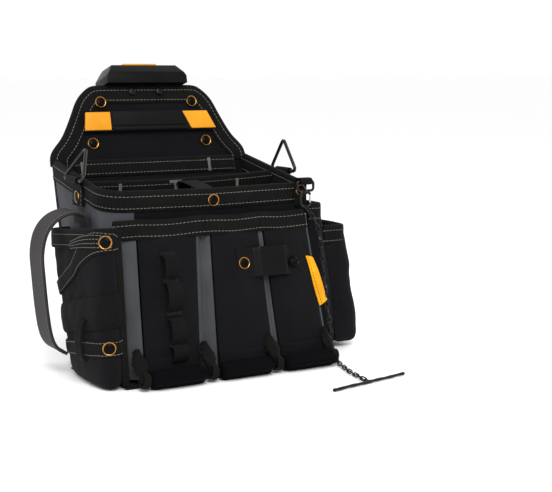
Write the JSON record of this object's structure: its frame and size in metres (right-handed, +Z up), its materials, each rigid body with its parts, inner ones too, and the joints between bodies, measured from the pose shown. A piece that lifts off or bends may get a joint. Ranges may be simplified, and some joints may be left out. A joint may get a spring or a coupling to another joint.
{
  "type": "electrician tool pouch",
  "caption": "Fabric tool pouch for a work belt: stiff leaning back panel with a moulded belt clip, front pockets, side holster and pockets, rings and a tape chain.",
  "frame": {"origin": "on the underside of the base, on the bag's centre line", "axes": "+Z up, +Y towards the back panel, +X to the right seen from the front"},
  "size_m": [0.3493, 0.3359, 0.3046],
  "materials": {
    "black_nylon": "woven ballistic nylon",
    "black_webbing": "ribbed webbing with off-white stitching",
    "grey_fabric": "woven, matt",
    "black_elastic": "ribbed elastic",
    "brown_strap": "matt, stitched edges",
    "black_polymer": "fine textured",
    "label_rubber": "moulded",
    "yellow_plastic": "satin",
    "yellow_fabric": "woven tape",
    "brass_rivet": "polished ring, black cap",
    "dark_steel": "black oxide",
    "black_wire": "semi-gloss black"
  },
  "bodies": {
    "bag": {"back_panel": "black_nylon", "inner_pocket": "black_nylon", "front_panel": "black_nylon", "base_panel": "black_nylon", "divider_panel": "black_nylon", "pocket_face_1": "black_nylon", "pocket_face_2": "black_nylon", "pocket_face_3": "black_nylon", "base_roll": "black_nylon", "holster_shell": "black_nylon", "side_pocket_tall": "black_nylon", "side_pocket_wide": "black_nylon", "back_panel_binding": "black_webbing", "rim_binding": "black_webbing", "pocket_binding_1": "black_webbing", "pocket_binding_2": "black_webbing", "pocket_binding_3": "black_webbing", "ring_tab_left": "black_webbing", "ring_tab_right": "black_webbing", "hook_tab": "black_webbing", "holster_curved_strap": "black_webbing", "holster_lower_strap": "black_webbing", "left_gusset": "grey_fabric", "right_gusset": "grey_fabric", "pocket_gusset_left": "grey_fabric", "pocket_gusset_right": "grey_fabric", "pocket_gusset_1": "grey_fabric", "pocket_gusset_2": "grey_fabric", "elastic_tool_loops": "black_elastic", "holster_elastic_band": "black_elastic", "holster_strap_loop": "brown_strap", "clip_housing": "black_polymer", "clip_receiver": "black_polymer", "tape_clip": "black_polymer", "label_plate": "label_rubber", "side_tag": "yellow_fabric", "panel_rivet_1": "brass_rivet", "panel_rivet_2": "brass_rivet", "panel_rivet_3": "brass_rivet", "panel_rivet_4": "brass_rivet", "rim_rivet": "brass_rivet", "ring_rivet_left": "brass_rivet", "ring_rivet_right": "brass_rivet", "hook_rivet": "brass_rivet", "tape_clip_rivet_1": "brass_rivet", "tape_clip_rivet_2": "brass_rivet", "holster_rivet_1": "brass_rivet", "holster_rivet_2": "brass_rivet", "clip_screw_1": "dark_steel", "clip_screw_2": "dark_steel", "button_spring": "dark_steel"},
    "release_button": {"release_button": "yellow_plastic"},
    "latch": {"latch_pawl": "dark_steel"},
    "ring_left": {"ring_left": "black_wire"},
    "ring_right": {"ring_right": "black_wire"},
    "snap_hook": {"snap_hook": "dark_steel"},
    "hook_gate": {"hook_gate": "dark_steel"},
    "chain_upper": {"chain_hanging": "dark_steel"},
    "chain_lower": {"chain_floor": "dark_steel"},
    "t_bar": {"t_bar": "dark_steel"}
  },
  "joints": [
    {"name": "button_slide", "type": "slide", "parent": "bag", "child": "release_button", "axis": [0, -0.2425, -0.9701], "range_m": [0, 0.0025], "stiffness_N_per_m": 250, "deforming": ["button_spring"]},
    {"name": "latch_slide", "type": "slide", "parent": "bag", "child": "latch", "axis": [0, -0.9701, 0.2425], "range_m": [0, 0.0025]},
    {"name": "ring_left_swing", "type": "hinge", "parent": "bag", "child": "ring_left", "pos_m": [-0.1204, 0.002, 0.19], "axis": [0, 1, 0], "range_deg": [-140, 0]},
    {"name": "ring_right_swing", "type": "hinge", "parent": "bag", "child": "ring_right", "pos_m": [0.1204, 0.002, 0.19], "axis": [0, 1, 0], "range_deg": [0, 115]},
    {"name": "hook_swing", "type": "hinge", "parent": "bag", "child": "snap_hook", "pos_m": [0.104, -0.0706, 0.184], "axis": [1, 0, 0], "range_deg": [-60, 0]},
    {"name": "gate_hinge", "type": "hinge", "parent": "snap_hook", "child": "hook_gate", "pos_m": [0.1097, -0.0706, 0.1691], "axis": [0, 1, 0], "range_deg": [0, 25], "stiffness_Nm_per_rad": 0.004},
    {"name": "chain_swing", "type": "hinge", "parent": "snap_hook", "child": "chain_upper", "pos_m": [0.106, -0.0711, 0.155], "axis": [1, 0, 0], "range_deg": [-50, 0]},
    {"name": "chain_bend", "type": "hinge", "parent": "chain_upper", "child": "chain_lower", "pos_m": [0.1175, -0.104, 0.0095], "axis": [1, 0, 0], "range_deg": [-25, 70]},
    {"name": "t_bar_turn", "type": "hinge", "parent": "chain_lower", "child": "t_bar", "pos_m": [0.0984, -0.1908, 0.0025], "axis": [0, 0, 1], "range_deg": [-35, 35]}
  ],
  "couplings": [
    {"joint": "latch_slide", "follows": "button_slide", "ratio": 1}
  ]
}
